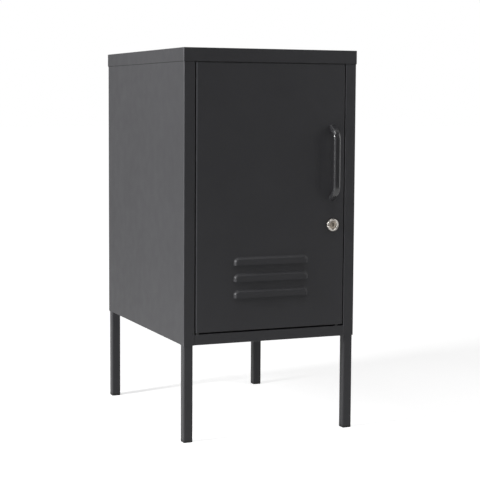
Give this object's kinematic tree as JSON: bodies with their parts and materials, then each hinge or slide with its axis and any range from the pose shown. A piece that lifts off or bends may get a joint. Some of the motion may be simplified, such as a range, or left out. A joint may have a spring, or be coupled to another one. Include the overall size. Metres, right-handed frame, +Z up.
{
  "type": "metal locker cabinet",
  "caption": "Free-standing sheet-metal locker cabinet on square legs, with a hinged louvred door, pull handle, cam lock and an inner shelf.",
  "frame": {"origin": "on the floor, at the middle of the box that holds the cabinet and its handle", "axes": "+Z up, -Y towards whoever faces the door, +X to that viewer's right"},
  "size_m": [0.35, 0.482, 0.725],
  "materials": {
    "charcoal_coat": "satin powder coat with a fine orange-peel texture",
    "handle_coat": "semi-gloss powder coat",
    "zinc_steel": "bright zinc plated",
    "pin_steel": "turned steel, blackened",
    "lock_nickel": "nickel plated",
    "lock_brass": "dulled brass",
    "bearing_nylon": "black nylon",
    "grommet_plastic": "black moulded plastic",
    "pad_plastic": "dark moulded plastic",
    "soft_rubber": "soft grey rubber",
    "foot_rubber": "black rubber"
  },
  "bodies": {
    "carcass": {"side_panel_right": "charcoal_coat", "side_panel_left": "charcoal_coat", "front_top_rail": "charcoal_coat", "front_bottom_rail": "charcoal_coat", "back_panel": "charcoal_coat", "floor_pan": "charcoal_coat", "top_cap": "charcoal_coat", "back_rivets": "zinc_steel", "cable_grommet": "grommet_plastic", "shelf": "charcoal_coat", "shelf_support_right": "charcoal_coat", "shelf_support_left": "charcoal_coat", "leg_bolts": "zinc_steel", "leg_nuts": "zinc_steel", "hinge_pin_upper": "pin_steel", "hinge_pin_lower": "pin_steel", "hinge_washer": "bearing_nylon", "door_buffers": "soft_rubber", "door_rest_pad": "pad_plastic", "leg_front_right": "charcoal_coat", "leg_front_left": "charcoal_coat", "leg_rear_right": "charcoal_coat", "leg_rear_left": "charcoal_coat", "foot_front_right": "foot_rubber", "foot_front_left": "foot_rubber", "foot_rear_right": "foot_rubber", "foot_rear_left": "foot_rubber"},
    "door": {"door_pan": "charcoal_coat", "hinge_block_upper": "bearing_nylon", "hinge_block_lower": "bearing_nylon", "door_handle": "handle_coat", "handle_screws": "zinc_steel", "lock_housing": "lock_nickel", "lock_nut": "zinc_steel"},
    "lock": {"lock_plug": "lock_brass", "lock_cam": "zinc_steel", "cam_screw": "zinc_steel"}
  },
  "joints": [
    {"name": "door_hinge", "type": "hinge", "parent": "carcass", "child": "door", "pos_m": [-0.1465, -0.214, 0.2025], "axis": [0, 0, -1], "range_deg": [0, 110]},
    {"name": "lock_turn", "type": "hinge", "parent": "door", "child": "lock", "pos_m": [0.1272, -0.218, 0.3952], "axis": [0, -1, 0], "range_deg": [0, 90]}
  ]
}
